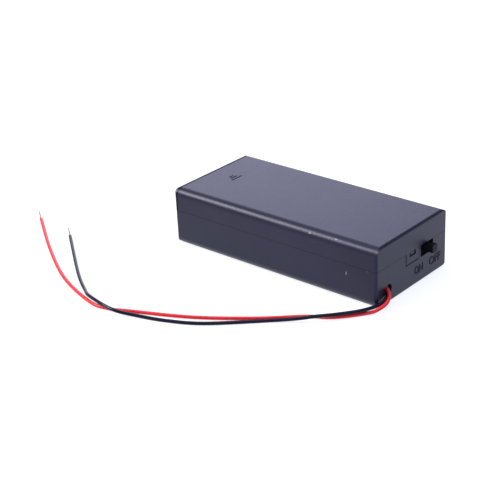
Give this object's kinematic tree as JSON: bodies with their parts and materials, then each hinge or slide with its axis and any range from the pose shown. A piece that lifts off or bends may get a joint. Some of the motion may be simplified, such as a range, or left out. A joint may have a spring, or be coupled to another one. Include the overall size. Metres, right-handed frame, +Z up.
{
  "type": "cylindrical cell holder",
  "caption": "Black moulded box for cylindrical cells in series, with a sliding cover, a slide switch in one end and free red and black leads with tinned ends",
  "frame": {"origin": "Middle of the flat underside of the tray", "axes": "+X points along the box to the end with the switch and the lead hole, +Y points across it away from the lead hole, +Z points up to the cover"},
  "size_m": [0.1611, 0.0979, 0.0225],
  "materials": {
    "housing": "satin black moulding",
    "cover": "satin black moulding",
    "contact": "nickel plated sheet",
    "spring": "nickel plated wire",
    "switch_case": "dark plated sheet",
    "board": "brown laminate",
    "terminal": "silver plated",
    "knob": "satin black moulding",
    "wiper": "bare spring brass",
    "solder": "bright solder",
    "red_jacket": "smooth flexible jacket",
    "black_jacket": "smooth flexible jacket",
    "tinned_strands": "tinned copper strands"
  },
  "bodies": {
    "tray": {"base_tray": "housing", "bridge_plate": "contact", "bridge_spring": "spring", "positive_plate": "contact", "negative_plate": "contact", "negative_spring": "spring", "switch_shell": "switch_case", "switch_board": "board", "terminal_on": "terminal", "terminal_common": "terminal", "terminal_off": "terminal", "jumper_wire": "red_jacket", "solder_common": "solder", "solder_on": "solder", "solder_positive": "solder", "solder_negative": "solder", "red_lead": "red_jacket", "black_lead": "black_jacket", "red_bare_end": "tinned_strands", "black_bare_end": "tinned_strands"},
    "cover": {"sliding_cover": "cover", "latch_tongue": "cover"},
    "slider": {"switch_knob": "knob", "switch_wiper": "wiper"}
  },
  "joints": [
    {"name": "cover_slide", "type": "slide", "parent": "tray", "child": "cover", "axis": [1, 0, 0], "range_m": [0, 0.085]},
    {"name": "switch_slide", "type": "slide", "parent": "tray", "child": "slider", "axis": [0, -1, 0], "range_m": [0, 0.002]}
  ]
}
